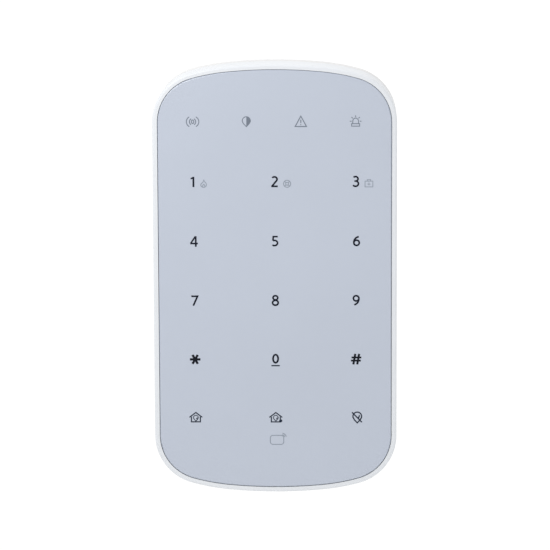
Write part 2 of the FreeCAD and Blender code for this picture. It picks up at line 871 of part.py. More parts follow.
def tamper_switch():
    """Switch that feels whether the keypad is on its wall bracket."""
    z = cell("tamper_z")
    tip = cell("tamper_tip_depth")
    collar_back = housing_floor + 0.35
    body = new_body("tamper_switch_body")
    face = cell("main_board_depth") - cell("tamper_body_height")
    collar_front = collar_back + cell("plunger_collar_thickness")
    add_box(body, span(0, 7.0), (face, cell("main_board_depth")), span(z, 7.0))
    bore = cell("plunger_radius") + cell("plunger_clearance")
    cut_rod(body, bore, 0, (face, cell("main_board_depth") - 0.5), z)
    plunger = new_body("tamper_plunger")
    add_rod(plunger, cell("plunger_radius"), 0, (tip, face + 0.2), z)
    add_rod(plunger, cell("plunger_collar_radius"), 0, (collar_back, collar_front), z)
    round_tip(plunger, tip)
    wire = 0.2
    slack = 0.05
    room = (face - collar_front).number - 2 * (wire + slack)
    spring = coil(SIZES["plunger_collar_radius"] - 0.4, wire, 3, room)
    spring.Label = "tamper_spring"
    start = FreeCAD.Vector(0, -collar_front.number - wire - slack, z.number)
    spring.Placement = FreeCAD.Placement(start, TO_FRONT)
    parts.append(spring)


def round_tip(body, depth):
    """Round the end of a pin at a depth."""
    doc.recompute()
    names = edge_names(body.Shape, lambda edge: in_plane(edge, depth.number))
    round_edges(body, names, 0.5)


def power_switch():
    """Slide switch reached through a slot in the back of the housing."""
    x, z = cell("switch_x"), cell("switch_z")
    face = cell("main_board_depth") - cell("switch_body_height")
    body = new_body("power_switch_body")
    add_box(body, span(x, 8.6), (face, cell("main_board_depth")), span(z, 4.0))
    cut_box(body, span(x, cell("switch_slot_width")), (face, face + 2.6), span(z, cell("switch_slot_height")))
    lever = new_body("power_switch_lever")
    lever_x = span(x - cell("switch_travel") / 2, 1.9)
    add_box(lever, lever_x, (housing_back + 0.3, face + 2.1), span(z, 1.8))


# ---------------------------------------------------------------- power cells

def batteries():
    """Four round cells side by side, every second one upside down."""
    nub, nub_radius = 1.2, 2.75
    for index in range(4):
        body = new_body(f"battery_{index + 1}")
        body_length = cell("cell_length") - nub
        add_rod(body, cell("cell_radius"), 0, 0, (0, body_length))
        add_rod(body, nub_radius, 0, 0, (body_length - 0.5, cell("cell_length")))
        doc.recompute()
        rims = edge_names(body.Shape, lambda edge: is_cell_rim(edge))
        round_edges(body, rims, 0.6)
        place_cell(body, index)


def is_cell_rim(edge):
    """True for the two circles at a cell's full radius."""
    return edge.BoundBox.ZLength < 0.001 and edge.BoundBox.XLength > 2 * SIZES["cell_radius"] - 0.1


def cell_x(index):
    return cell("cell_pitch") * (index - 1.5)


def place_cell(body, index):
    """Stand a cell in the compartment with its nub against the contact plate."""
    top = cell("well_top") - cell("contact_thickness")
    bottom = cell("well_bottom") + cell("contact_thickness")
    upright = index % 2 == 1
    if not upright:
        body.Placement.Rotation = FreeCAD.Rotation(FreeCAD.Vector(1, 0, 0), 180)
    bind(body, ".Placement.Base.x", cell_x(index))
    bind(body, ".Placement.Base.y", -cell("cell_depth"))
    bind(body, ".Placement.Base.z", top - cell("cell_length") if upright else bottom + cell("cell_length"))


def battery_springs():
    """Coil contact at the flat end of each cell."""
    room = SIZES["well_top"] - SIZES["well_bottom"] - 2 * SIZES["contact_thickness"] - SIZES["cell_length"]
    wire = 0.3
    springs = []
    for index in range(4):
        spring = coil(3.0, wire, 3, room - 2 * wire)
        low = SIZES["well_bottom"] + SIZES["contact_thickness"] + wire
        high = SIZES["well_top"] - SIZES["contact_thickness"] - room + wire
        z = low if index % 2 == 1 else high
        spring.Placement.Base = FreeCAD.Vector(cell_x(index).number, -SIZES["cell_depth"], z)
        springs.append(spring)
    new_group("battery_springs", springs)


def battery_plates():
    """Contact plates: pairs at the foot, and one pair between two tabs at the top."""
    thick = cell("contact_thickness")
    top = (cell("well_top") - thick, cell("well_top"))
    bottom = (cell("well_bottom"), cell("well_bottom") + thick)
    depth = span(cell("cell_depth"), 9.0)
    plates = [loose_box((cell_x(a) - 4.5, cell_x(a + 1) + 4.5), depth, bottom) for a in (0, 2)]
    plates.append(loose_box((cell_x(1) - 4.5, cell_x(2) + 4.5), depth, top))
    for index in (0, 3):
        plate = loose_box(span(cell_x(index), 9.0), depth, top)
        tab_depth = (cell("main_board_depth") - thick, cell("main_board_depth"))
        tab = loose_box(span(cell_x(index), 4.0), tab_depth, (top[0], cell("main_board_bottom") + 2.0))
        plates.append(joined([plate, tab]))
    new_group("battery_plates", plates)


# ---------------------------------------------------------------- wall bracket and fasteners

def wall_bracket():
    """Plate screwed to the wall, with four hooks, a locking tab and a break-out tamper tab."""
    plate = cell("bracket_thickness")
    body = new_body("wall_bracket")
    pad_outline(body, (0, plate), cell("bracket_inset"))
    round_rim(body, 0, cell("bracket_round"))
    tongue_back = housing_floor + cell("hook_clearance")
    tongue_front = tongue_back + cell("hook_thickness")
    for x, z, width in hook_places():
        foot = z - cell("hook_stem_height")
        add_box(body, span(x, width), (plate - 1.0, tongue_front), (foot, z))
        add_box(body, span(x, width), (tongue_back, tongue_front), (foot, foot + cell("hook_tongue_height")))
    tab_top = cell("lock_tab_top")
    tab_bottom = tab_top - cell("lock_tab_thickness")
    tab_x = span(0, cell("lock_tab_half_width") * 2)
    add_box(body, tab_x, (0, cell("lock_tab_depth")), (tab_bottom, tab_top))
    tab_hole = cell("lock_screw_radius") + cell("lock_screw_clearance")
    cut_rod(body, tab_hole, 0, cell("lock_screw_depth"), (tab_bottom, tab_top))
    tamper_tab_slots(body, plate)
    for x, z in wall_screw_places():
        cut_rod(body, cell("wall_hole_radius"), x, (0, plate), z)
    countersink_holes(body, plate)


def countersink_holes(body, plate):
    """Widen the front of each wall-screw hole for a countersunk head."""
    doc.recompute()
    mouths = edge_names(body.Shape, lambda edge: is_screw_mouth(edge, plate.number))
    base = body.Tip
    sink = body.newObject("PartDesign::Chamfer", "countersinks")
    sink.Base = (base, mouths)
    bind(sink, "Size", cell("countersink"))


def wall_screw_places():
    """Four corner screws, two on the width of a flush wall box, and one in the tamper tab."""
    for side in (-1, 1):
        for up in (-1, 1):
            yield cell("screw_spacing_x") / 2 * side, cell("screw_spacing_z") / 2 * up
        yield cell("box_spacing") / 2 * side, 0
    yield 0, cell("tamper_z") + cell("tamper_tab_screw")


def tamper_tab_slots(body, plate):
    """Slots that leave the tamper tab held by two narrow bridges."""
    through = (0, plate)
    slot = cell("tamper_tab_slot")
    outer, inner = cell("tamper_tab_width") / 2, cell("tamper_tab_bridge") / 2
    low, high = cell("tamper_z") - cell("tamper_tab_below"), cell("tamper_z") + cell("tamper_tab_above")
    for side in (-1, 1):
        cut_box(body, span((outer - slot / 2) * side, slot), through, (low, high))
        for z in (low, high - slot):
            cut_box(body, span((outer + inner) / 2 * side, outer - inner), through, (z, z + slot))


def is_screw_mouth(edge, depth):
    """True for the front edge of a wall-screw hole."""
    radius = SIZES["wall_hole_radius"]
    return in_plane(edge, depth) and abs(edge.Length - 2 * math.pi * radius) < 0.01


def screw(shank, head, head_height, length):
    """A screw with a plain shank: its head starts at the origin, with a cross recess, and it points to +Z."""
    pin = doc.addObject("Part::Cylinder", "shank")
    pin.Radius = shank
    pin.Height = length
    cap = doc.addObject("Part::Cylinder", "head")
    cap.Radius = head
    cap.Height = head_height
    solid = joined([pin, cap])
    for long_side, short_side in ((1.3 * head, 0.35 * head), (0.35 * head, 1.3 * head)):
        recess = doc.addObject("Part::Box", "recess")
        recess.Length = long_side
        recess.Width = short_side
        recess.Height = 0.55 * head_height
        recess.Placement.Base = FreeCAD.Vector(-long_side / 2, -short_side / 2, 0)
        solid = cut_from(solid, recess)
    return solid


def put_screw(solid, x, depth, z, rotation):
    place = FreeCAD.Vector(as_size(x).number, -depth.number, z.number)
    solid.Placement = FreeCAD.Placement(place, rotation)
    return solid


def fasteners():
    """Casing screws driven from the back, board screws from the front, and the locking screw."""
    casing_head, board_head, lock_head = 1.6, 1.3, 1.5
    head_depth = housing_back + cell("counterbore_depth") - casing_head
    casing = []
    for x, z in screw_places():
        piece = screw(SIZES["screw_radius"], 2.2, casing_head, SIZES["screw_length"])
        casing.append(put_screw(piece, x, head_depth, z, TO_FRONT))
    new_group("casing_screws", casing)
    board = []
    for x, z in board_screw_places():
        piece = screw(SIZES["board_screw_radius"], 1.9, board_head, 5.8)
        board.append(put_screw(piece, x, main_board_front + board_head, z, TO_WALL))
    new_group("board_screws", board)
    tab_bottom = cell("lock_tab_top") - cell("lock_tab_thickness")
    lock = screw(SIZES["lock_screw_radius"], 2.6, lock_head, 8.8)
    put_screw(lock, 0, cell("lock_screw_depth"), tab_bottom - lock_head, FreeCAD.Rotation())
    lock.Label = "lock_screw"
    parts.append(lock)


def lock_insert():
    """Brass insert in the foot of the housing that the locking screw runs into."""
    body = new_body("lock_insert")
    low = cell("lock_tab_top") + 0.6
    reach = (low, low + 5.2)
    add_rod(body, cell("lock_insert_radius"), 0, cell("lock_screw_depth"), reach)
    bore = cell("lock_screw_radius") + cell("lock_screw_clearance")
    cut_rod(body, bore, 0, cell("lock_screw_depth"), reach)


def rating_label():
    """Blank label on the back of the housing."""
    body = new_body("rating_label")
    depth = (housing_back - cell("label_thickness"), housing_back)
    add_box(body, span(0, cell("label_width")), depth, span(cell("label_z"), cell("label_height")))


# ---------------------------------------------------------------- build, check and write

def build():
    wall_bracket()
    rear_housing()
    battery_door()
    front_bezel()
    front_glass()
    lens_tape()
    light_guide()
    touch_board()
    touch_pads()
    lights("backlight_leds", [*key_places(), (0, cell("card_mark_z"))])
    lights("status_leds", list(status_places()))
    card_coil()
    ferrite_sheet()
    touch_chip()
    board_connectors()
    flat_cable()
    main_board()
    board_chips()
    radio_shield()
    radio_antenna()
    sounder()
    storage_capacitor()
    small_components()
    tamper_switch()
    power_switch()
    batteries()
    battery_springs()
    battery_plates()
    fasteners()
    lock_insert()
    rating_label()
    doc.recompute()


def check():
    """Stop if any object failed, or any sub-part's shape is missing or faulty."""
    for item in doc.Objects:
        if "Invalid" in item.State or "Error" in item.State:
            raise RuntimeError(f"{item.Name} did not build: {item.State}")
    for part in parts:
        if part.Shape.isNull() or not part.Shape.isValid():
            raise RuntimeError(f"{part.Label} has no valid shape")


def write():
    os.makedirs("parts", exist_ok=True)
    for part in parts:
        part.Shape.exportStep(f"parts/{part.Label}.step")
        size = part.Shape.BoundBox
        print(f"{part.Label:20s} {part.Shape.Volume:9.1f} mm3, {len(part.Shape.Solids):2d} solids,",
              f"x {size.XMin:6.2f} {size.XMax:6.2f}, depth {-size.YMax:5.2f} {-size.YMin:5.2f},",
              f"z {size.ZMin:6.2f} {size.ZMax:6.2f}")


build()
check()
write()
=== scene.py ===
import sys

import json
import math

import bmesh
import bpy
from mathutils import Matrix, Vector
from mathutils.geometry import delaunay_2d_cdt
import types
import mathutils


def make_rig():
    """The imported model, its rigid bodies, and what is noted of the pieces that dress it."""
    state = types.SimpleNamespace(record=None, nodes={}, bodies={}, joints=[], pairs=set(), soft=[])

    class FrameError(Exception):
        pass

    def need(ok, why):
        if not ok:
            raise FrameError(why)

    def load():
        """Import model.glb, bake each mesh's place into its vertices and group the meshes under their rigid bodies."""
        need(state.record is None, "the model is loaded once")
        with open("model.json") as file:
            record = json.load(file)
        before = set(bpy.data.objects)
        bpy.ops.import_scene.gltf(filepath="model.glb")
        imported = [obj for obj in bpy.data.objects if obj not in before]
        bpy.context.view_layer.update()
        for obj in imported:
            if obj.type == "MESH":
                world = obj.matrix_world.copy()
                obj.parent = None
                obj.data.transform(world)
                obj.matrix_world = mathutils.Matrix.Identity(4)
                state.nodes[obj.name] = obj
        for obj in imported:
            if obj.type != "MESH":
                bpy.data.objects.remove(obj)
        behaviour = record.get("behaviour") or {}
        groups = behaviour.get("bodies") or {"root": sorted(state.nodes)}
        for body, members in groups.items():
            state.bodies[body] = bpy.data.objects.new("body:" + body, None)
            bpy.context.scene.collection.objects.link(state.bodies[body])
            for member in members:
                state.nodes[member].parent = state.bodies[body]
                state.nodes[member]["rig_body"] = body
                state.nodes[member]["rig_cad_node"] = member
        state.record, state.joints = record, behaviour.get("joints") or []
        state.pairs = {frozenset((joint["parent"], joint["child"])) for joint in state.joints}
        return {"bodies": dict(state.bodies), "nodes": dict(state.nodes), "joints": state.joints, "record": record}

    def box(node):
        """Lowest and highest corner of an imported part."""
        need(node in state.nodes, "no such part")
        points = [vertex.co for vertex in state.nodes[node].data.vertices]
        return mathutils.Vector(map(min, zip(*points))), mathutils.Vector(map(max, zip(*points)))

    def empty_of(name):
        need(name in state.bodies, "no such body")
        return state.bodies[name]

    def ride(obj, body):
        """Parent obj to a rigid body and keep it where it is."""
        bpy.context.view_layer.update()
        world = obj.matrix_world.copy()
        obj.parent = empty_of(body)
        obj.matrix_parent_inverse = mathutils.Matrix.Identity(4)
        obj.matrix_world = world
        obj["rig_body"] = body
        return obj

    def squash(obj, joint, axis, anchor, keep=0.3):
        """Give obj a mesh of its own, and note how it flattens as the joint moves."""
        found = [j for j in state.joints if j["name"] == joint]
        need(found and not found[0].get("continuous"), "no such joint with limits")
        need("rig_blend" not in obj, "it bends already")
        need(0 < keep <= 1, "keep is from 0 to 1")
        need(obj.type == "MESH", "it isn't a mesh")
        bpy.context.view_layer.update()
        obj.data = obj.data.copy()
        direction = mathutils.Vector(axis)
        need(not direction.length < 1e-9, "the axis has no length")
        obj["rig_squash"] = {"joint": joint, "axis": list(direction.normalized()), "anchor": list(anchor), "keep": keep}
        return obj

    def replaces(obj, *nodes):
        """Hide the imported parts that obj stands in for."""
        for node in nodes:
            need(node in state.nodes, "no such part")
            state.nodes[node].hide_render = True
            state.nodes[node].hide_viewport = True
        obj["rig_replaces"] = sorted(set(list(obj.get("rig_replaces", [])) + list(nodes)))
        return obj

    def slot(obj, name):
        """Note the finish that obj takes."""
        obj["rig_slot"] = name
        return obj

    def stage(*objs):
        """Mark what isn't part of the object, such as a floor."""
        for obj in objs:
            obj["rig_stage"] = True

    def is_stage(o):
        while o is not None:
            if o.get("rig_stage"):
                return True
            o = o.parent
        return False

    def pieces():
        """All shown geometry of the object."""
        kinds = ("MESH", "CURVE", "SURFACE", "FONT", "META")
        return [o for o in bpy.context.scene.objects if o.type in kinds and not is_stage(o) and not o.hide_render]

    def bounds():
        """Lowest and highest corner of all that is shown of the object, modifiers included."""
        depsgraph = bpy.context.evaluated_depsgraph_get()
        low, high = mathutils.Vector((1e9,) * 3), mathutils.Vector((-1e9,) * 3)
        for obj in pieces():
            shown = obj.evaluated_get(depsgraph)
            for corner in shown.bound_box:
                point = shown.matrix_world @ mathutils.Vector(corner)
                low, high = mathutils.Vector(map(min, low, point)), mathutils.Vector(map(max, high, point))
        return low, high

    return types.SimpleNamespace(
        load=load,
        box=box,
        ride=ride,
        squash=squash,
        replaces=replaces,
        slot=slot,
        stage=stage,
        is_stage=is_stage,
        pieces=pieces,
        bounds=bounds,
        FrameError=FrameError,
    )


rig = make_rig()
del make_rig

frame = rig.load()
cad_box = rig.bounds()

MM = 0.001

# ---------------------------------------------------------------- printed marks: flat shapes
# A mark is a list of flat polygons in millimetres, x to the right and z up, about its own centre.
# Lines are drawn as strips, so a mark may overlap itself: the polygons are merged into one sheet.


def arc(x, z, radius_x, radius_z, start, stop, steps=16):
    """Points along an ellipse, from one angle to another in degrees, anticlockwise if stop is larger."""
    points = []
    for step in range(steps + 1):
        angle = math.radians(start + (stop - start) * step / steps)
        points.append((x + radius_x * math.cos(angle), z + radius_z * math.sin(angle)))
    return points


def disc(x, z, radius):
    return arc(x, z, radius, radius, 0, 360, 20)[:-1]


def side_of(a, b):
    """The unit direction to the left of a run from a to b."""
    run = Vector((b[0] - a[0], b[1] - a[1])).normalized()
    return Vector((-run.y, run.x))


def line(points, width, closed=False, round_ends=False):
    """A strip of even width along points, with mitred corners, as polygons."""
    count = len(points)
    runs = count if closed else count - 1
    sides = [side_of(points[i], points[(i + 1) % count]) for i in range(runs)]
    edges = []
    for i, point in enumerate(points):
        before = sides[i - 1] if closed or i > 0 else sides[0]
        after = sides[i] if i < runs else sides[-1]
        mitre = (before + after).normalized()
        reach = width / 2 / max(mitre.dot(after), 0.5)
        middle = Vector(point)
        edges.append((middle + mitre * reach, middle - mitre * reach))
    shapes = []
    for i in range(runs):
        (a, b), (c, d) = edges[i], edges[(i + 1) % count]
        shapes.append([a, b, d, c])
    if round_ends:
        shapes += [disc(*points[0], width / 2), disc(*points[-1], width / 2)]
    return shapes


def stroke(*points, width, round_ends=False):
    return line(list(points), width, round_ends=round_ends)


def ring(x, z, radius_x, radius_z, width):
    """An ellipse drawn as a line."""
    return line(arc(x, z, radius_x, radius_z, 0, 360, 40)[:-1], width, closed=True)


def moved(shapes, x, z, size=1.0):
    """The same polygons, scaled and then moved."""
    return [[(x + size * px, z + size * pz) for px, pz in shape] for shape in shapes]


# The digits are upright and open, about 3.7 mm tall, in strokes of one weight.
PEN = 0.62


def digit_one():
    stem = [(-0.4, -1.92), (0.26, -1.92), (0.26, 1.74), (-0.26, 1.74)]
    flag = [(-1.14, 1.26), (-0.94, 0.78), (-0.4, 1.06)]
    return [stem + flag]


def digit_two():
    bowl = arc(0.06, 0.86, 0.92, 0.84, 146, -34)
    return line(bowl + [(-0.82, -1.62)], PEN) + stroke((-1.08, -1.67), (1.22, -1.67), width=PEN)


def digit_three():
    upper = line(arc(-0.1, 0.98, 0.88, 0.8, 142, -84), PEN)
    lower = line(arc(-0.12, -0.74, 1.04, 0.94, 86, -146), PEN)
    return upper + lower + stroke((-0.5, 0.19), (0.1, 0.19), width=PEN - 0.06)


def digit_four():
    stem = stroke((0.6, 1.78), (0.6, -2.0), width=PEN)
    slope = stroke((0.5, 1.72), (-1.2, -0.78), width=PEN - 0.04)
    return stem + slope + stroke((-1.38, -0.84), (1.34, -0.84), width=PEN - 0.04)


def digit_five():
    neck = [(1.14, 1.62), (-0.44, 1.62), (-0.58, 0.2)]
    return line(neck, PEN - 0.04) + line(arc(-0.02, -0.66, 1.08, 0.94, 122, -132), PEN)


def digit_six():
    return ring(0.26, -0.6, 0.96, 0.94, PEN) + line(arc(1.3, -0.45, 2.0, 2.05, 184, 97), PEN)


def digit_seven():
    return line([(-1.14, 1.42), (1.08, 1.42), (-0.46, -1.98)], PEN)


def digit_eight():
    return ring(0.22, 0.88, 0.84, 0.74, PEN) + ring(0.22, -0.92, 1.0, 0.88, PEN)


def digit_nine():
    return ring(0.12, 0.68, 0.98, 0.94, PEN) + line(arc(-0.92, 0.55, 2.02, 2.2, 4, -80), PEN)


def digit_zero():
    return ring(0.22, 0.14, 0.9, 1.46, PEN + 0.04)


def star():
    arms = []
    for turn in (0, 60, 120):
        angle = math.radians(turn)
        x, z = 1.88 * math.cos(angle), 1.88 * math.sin(angle)
        arms += stroke((0.06 - x, -0.12 - z), (0.06 + x, -0.12 + z), width=0.84)
    return arms


def hash_sign():
    lean = stroke((-0.18, 1.92), (-0.88, -1.92), width=0.76)
    bar = stroke((-1.52, 0.6), (1.98, 0.6), width=0.66)
    return lean + moved(lean, 1.38, 0) + bar + moved(bar, -0.2, -1.14)


def underline():
    """A plain short line under the zero."""
    return stroke((-1.1, -2.38), (1.5, -2.38), width=0.46, round_ends=True)


def shield_outline(width, height):
    """A shield with a round top and a pointed foot, as points from the top, clockwise."""
    half = width / 2
    crown = arc(0, height / 2 - half, half, half, 90, -16, 9)
    flank = [(half * 0.62, -height * 0.24)]
    right = crown + flank + [(0, -height / 2)]
    left = [(-x, z) for x, z in reversed(right[1:-1])]
    return right + left


def shield(width, height, pen):
    return line(shield_outline(width, height), pen, closed=True)


def half_shield(width, height):
    """The right half of a shield, filled."""
    return [[point for point in shield_outline(width, height) if point[0] >= 0]]


def radio_waves(pen):
    marks = ring(0, 0, 0.42, 0.62, pen)
    for radius_x, radius_z, reach in ((1.1, 1.2, 55), (2.2, 2.05, 54)):
        for facing in (0, 180):
            marks += line(arc(0, 0, radius_x, radius_z, facing - reach, facing + reach), pen, round_ends=True)
    return marks


def warning_triangle(pen):
    corners = [(0, 1.95), (2.0, -1.74), (-2.0, -1.74)]
    return line(corners, pen, closed=True) + stroke((0, 0.7), (0, -0.55), width=pen) + [disc(0, -1.1, 0.2)]


def siren(pen):
    base = [(-1.6, -1.85), (1.6, -1.85), (1.6, -0.85), (-1.6, -0.85)]
    dome = [(-1.15, -0.85)] + arc(0, 0.1, 1.15, 1.3, 180, 0) + [(1.15, -0.85)]
    rays = []
    for turn in (0, 45, 90, 135, 180):
        x, z = math.cos(math.radians(turn)), math.sin(math.radians(turn))
        rays += stroke((1.75 * x, 0.15 + 1.75 * z), (2.2 * x, 0.15 + 2.2 * z), width=pen, round_ends=True)
    return line(base, pen, closed=True) + line(dome, pen) + rays


def flame(pen):
    right = [(0.05, 1.35), (0.4, 0.7), (0.85, 0.2), (1.0, -0.4), (0.75, -0.98), (0.2, -1.25)]
    left = [(-0.4, -1.22), (-0.9, -0.9), (-1.05, -0.35), (-0.75, 0.2), (-0.35, 0.45), (-0.1, 0.85)]
    tongue = stroke((-0.35, -1.1), (-0.4, -0.6), (0.05, -0.15), (0.42, -0.62), (0.35, -1.1), width=pen)
    return line(right + left, pen, closed=True) + tongue


def lifebuoy(pen):
    """A life ring with four bands, for a call for help."""
    bands = []
    for turn in (45, 135, 225, 315):
        x, z = math.cos(math.radians(turn)), math.sin(math.radians(turn))
        bands += stroke((0.5 * x, 0.5 * z), (1.2 * x, 1.2 * z), width=pen)
    return ring(0, 0, 1.25, 1.25, pen) + ring(0, 0, 0.5, 0.5, pen) + bands


def first_aid_case(pen):
    body = [(-1.45, -1.4), (1.45, -1.4), (1.45, 0.75), (-1.45, 0.75)]
    handle = [(-0.6, 0.75), (-0.6, 1.3), (0.6, 1.3), (0.6, 0.75)]
    cross = stroke((-0.55, -0.35), (0.55, -0.35), width=pen) + stroke((0, -0.9), (0, 0.2), width=pen)
    return line(body, pen, closed=True) + line(handle, pen) + cross


def tick_shield(pen):
    """A small shield with its right half marked by a tick."""
    tick = stroke((0.15, -0.1), (0.32, -0.25), (0.62, 0.3), width=pen)
    return shield(1.9, 2.3, pen) + tick


def house(pen):
    roof = stroke((-2.15, 0.1), (0, 1.75), (2.15, 0.1), width=pen, round_ends=True)
    walls = stroke((-1.6, 0.2), (-1.6, -1.65), (1.6, -1.65), (1.6, 0.2), width=pen)
    return roof + walls + moved(tick_shield(pen * 0.75), 0, -0.3, 0.9)


def house_night(pen):
    """The same house with a small moon, cut flat at the top, at its lower right."""
    moon = [arc(1.75, -1.2, 0.58, 0.58, 150, 410, 18)]
    return house(pen) + moon


def shield_struck_out(pen):
    tick = stroke((0.25, 0.1), (0.5, -0.1), (0.85, 0.85), width=pen)
    slash = stroke((-1.75, 1.75), (1.5, -1.6), width=pen, round_ends=True)
    return shield(3.1, 3.9, pen) + tick + slash


def rounded_rectangle(width, height, corner):
    """Points round a rectangle with rounded corners, anticlockwise."""
    points = []
    for turn, (side, end) in enumerate(((1, 1), (-1, 1), (-1, -1), (1, -1))):
        x, z = side * (width / 2 - corner), end * (height / 2 - corner)
        points += arc(x, z, corner, corner, 90 * turn, 90 * turn + 90, 6)
    return points


def card_mark(pen):
    """A card with two small waves leaving its corner."""
    card = moved(line(rounded_rectangle(4.8, 3.3, 0.95), pen, closed=True), -0.3, -0.25)
    waves = [line(arc(1.5, 0.65, radius, radius, 10, 85, 8), pen) for radius in (0.95, 1.5)]
    return card + waves[0] + waves[1]


# ---------------------------------------------------------------- printed marks: solid print
PRINT_FRONT = 0.02 * MM
PRINT_BACK = 0.01 * MM


def turned_anticlockwise(shape):
    area = sum(a[0] * b[1] - b[0] * a[1] for a, b in zip(shape, shape[1:] + shape[:1]))
    return shape if area > 0 else shape[::-1]


def merged(shapes):
    """Flat points and triangles of the area that the shapes cover together."""
    points, faces = [], []
    for shape in shapes:
        faces.append(range(len(points), len(points) + len(shape)))
        points += [Vector(point) for point in turned_anticlockwise(shape)]
    flat, _, triangles, _, _, covered_by = delaunay_2d_cdt(points, [], [list(f) for f in faces], 0, 1e-5)
    return flat, [triangle for triangle, cover in zip(triangles, covered_by) if cover]


def solid_print(name, shapes, back, front):
    """A closed prism with the outline of the shapes, between two planes at y = back and y = front."""
    flat, triangles = merged(shapes)
    mesh = bmesh.new()
    layers = [[mesh.verts.new((p.x * MM, y, p.y * MM)) for p in flat] for y in (back, front)]
    edge_uses = {}
    for triangle in triangles:
        mesh.faces.new([layers[1][i] for i in triangle])
        mesh.faces.new([layers[0][i] for i in reversed(triangle)])
        for a, b in zip(triangle, triangle[1:] + triangle[:1]):
            edge_uses[frozenset((a, b))] = None if frozenset((a, b)) in edge_uses else (a, b)
    for edge in filter(None, edge_uses.values()):
        a, b = edge
        mesh.faces.new((layers[1][b], layers[1][a], layers[0][a], layers[0][b]))
    bmesh.ops.delete(mesh, geom=[v for v in mesh.verts if not v.link_faces], context="VERTS")
    data = bpy.data.meshes.new(name)
    mesh.to_mesh(data)
    mesh.free()
    piece = bpy.data.objects.new(name, data)
    bpy.context.scene.collection.objects.link(piece)
    return piece


def print_mark(name, shapes, x, z, ink):
    """One printed mark on the front of the glass."""
    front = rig.box("front_glass")[0].y
    piece = solid_print(name, moved(shapes, x, z), front + PRINT_BACK, front - PRINT_FRONT)
    piece.data.materials.append(ink)
    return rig.ride(piece, "keypad")


# ---------------------------------------------------------------- material building blocks


def linear(red, green, blue):
    """A colour on the 0 to 255 screen scale as the linear colour that a shader takes."""
    tones = []
    for value in (red, green, blue):
        tone = value / 255
        tones.append(tone / 12.92 if tone <= 0.04045 else ((tone + 0.055) / 1.055) ** 2.4)
    return (*tones, 1.0)


def scaled(colour, factor):
    return (*(min(1.0, channel * factor) for channel in colour[:3]), 1.0)


# The wave texture's sine runs this many radians for each unit along the bands.
WAVE_TEXTURE_RATE = 20


class Finish:
    """One material, built node by node on the object's own coordinates."""

    def __init__(self, name):
        self.material = bpy.data.materials.new(name)
        self.material.use_nodes = True
        tree = self.material.node_tree
        self.nodes = tree.nodes
        self.links = tree.links
        self.shader = self.nodes["Principled BSDF"]
        self.place = self.nodes.new("ShaderNodeTexCoord").outputs["Object"]

    def set(self, **values):
        """Set shader sockets: names are written with underscores for spaces."""
        for key, value in values.items():
            self.shader.inputs[key.replace("_", " ")].default_value = value
        return self

    def stretched(self, x, y, z):
        """The object's coordinates, scaled per axis."""
        mapping = self.nodes.new("ShaderNodeMapping")
        mapping.inputs["Scale"].default_value = (x, y, z)
        self.links.new(self.place, mapping.inputs["Vector"])
        return mapping.outputs["Vector"]

    def noise(self, size, detail=3.0, place=None):
        """Noise whose blotches are about size millimetres across."""
        node = self.nodes.new("ShaderNodeTexNoise")
        node.inputs["Scale"].default_value = 1 / (size * MM)
        node.inputs["Detail"].default_value = detail
        self.links.new(place or self.place, node.inputs["Vector"])
        return node.outputs["Fac"]

    def cells(self, size):
        node = self.nodes.new("ShaderNodeTexVoronoi")
        node.inputs["Scale"].default_value = 1 / (size * MM)
        self.links.new(self.place, node.inputs["Vector"])
        return node.outputs["Distance"]

    def waves(self, size, direction):
        """Even bands that follow a sine: from one to the next is two pi times size millimetres."""
        node = self.nodes.new("ShaderNodeTexWave")
        node.bands_direction = direction
        node.inputs["Scale"].default_value = 1 / (WAVE_TEXTURE_RATE * size * MM)
        node.inputs["Detail"].default_value = 0
        self.links.new(self.place, node.inputs["Vector"])
        return node.outputs["Fac"]

    def ramp(self, source, *stops):
        """A colour ramp of (place, colour) stops."""
        node = self.nodes.new("ShaderNodeValToRGB")
        elements = node.color_ramp.elements
        while len(elements) < len(stops):
            elements.new(0.5)
        for element, (place, colour) in zip(elements, stops):
            element.position = place
            element.color = colour
        self.links.new(source, node.inputs["Fac"])
        return node.outputs["Color"]

    def colour(self, source, *stops):
        self.links.new(self.ramp(source, *stops), self.shader.inputs["Base Color"])
        return self

    def mottled(self, colour, spread, size):
        """The colour, varied up and down by a share, in soft blotches."""
        low, high = scaled(colour, 1 - spread), scaled(colour, 1 + spread)
        return self.colour(self.noise(size), (0.3, low), (0.7, high))

    def between(self, source, span, to):
        """A value that runs from one end of to to the other while the source runs over the span."""
        node = self.nodes.new("ShaderNodeMapRange")
        for name, value in zip(("From Min", "From Max", "To Min", "To Max"), (*span, *to)):
            node.inputs[name].default_value = value
        self.links.new(source, node.inputs["Value"])
        return node.outputs["Result"]

    def rough(self, low, high, size):
        """Roughness that drifts between two values."""
        self.links.new(self.between(self.noise(size), (0, 1), (low, high)), self.shader.inputs["Roughness"])
        return self

    def bump(self, source, height):
        """Relief of that height in millimetres, added to any relief already there."""
        node = self.nodes.new("ShaderNodeBump")
        node.inputs["Strength"].default_value = 1.0
        node.inputs["Distance"].default_value = height * MM
        self.links.new(source, node.inputs["Height"])
        normal = self.shader.inputs["Normal"]
        if normal.is_linked:
            self.links.new(normal.links[0].from_socket, node.inputs["Normal"])
        self.links.new(node.outputs["Normal"], normal)
        return self


# ---------------------------------------------------------------- materials of the casing


def moulded_plastic(name, colour, roughness=0.42, grain=0.006, grain_size=0.35):
    """Injection-moulded plastic: fine spark-eroded grain, slight flow marks and a soft surface gloss."""
    finish = Finish(name)
    finish.mottled(colour, 0.015, 22)
    finish.rough(roughness - 0.06, roughness + 0.06, 9)
    finish.bump(finish.noise(grain_size, detail=2), grain)
    return finish


def bezel_plastic():
    return moulded_plastic("bezel_plastic", linear(220, 223, 227), 0.34, 0.003, 0.3)


def housing_plastic():
    return moulded_plastic("housing_plastic", linear(222, 222, 222), 0.48, 0.008, 0.4)


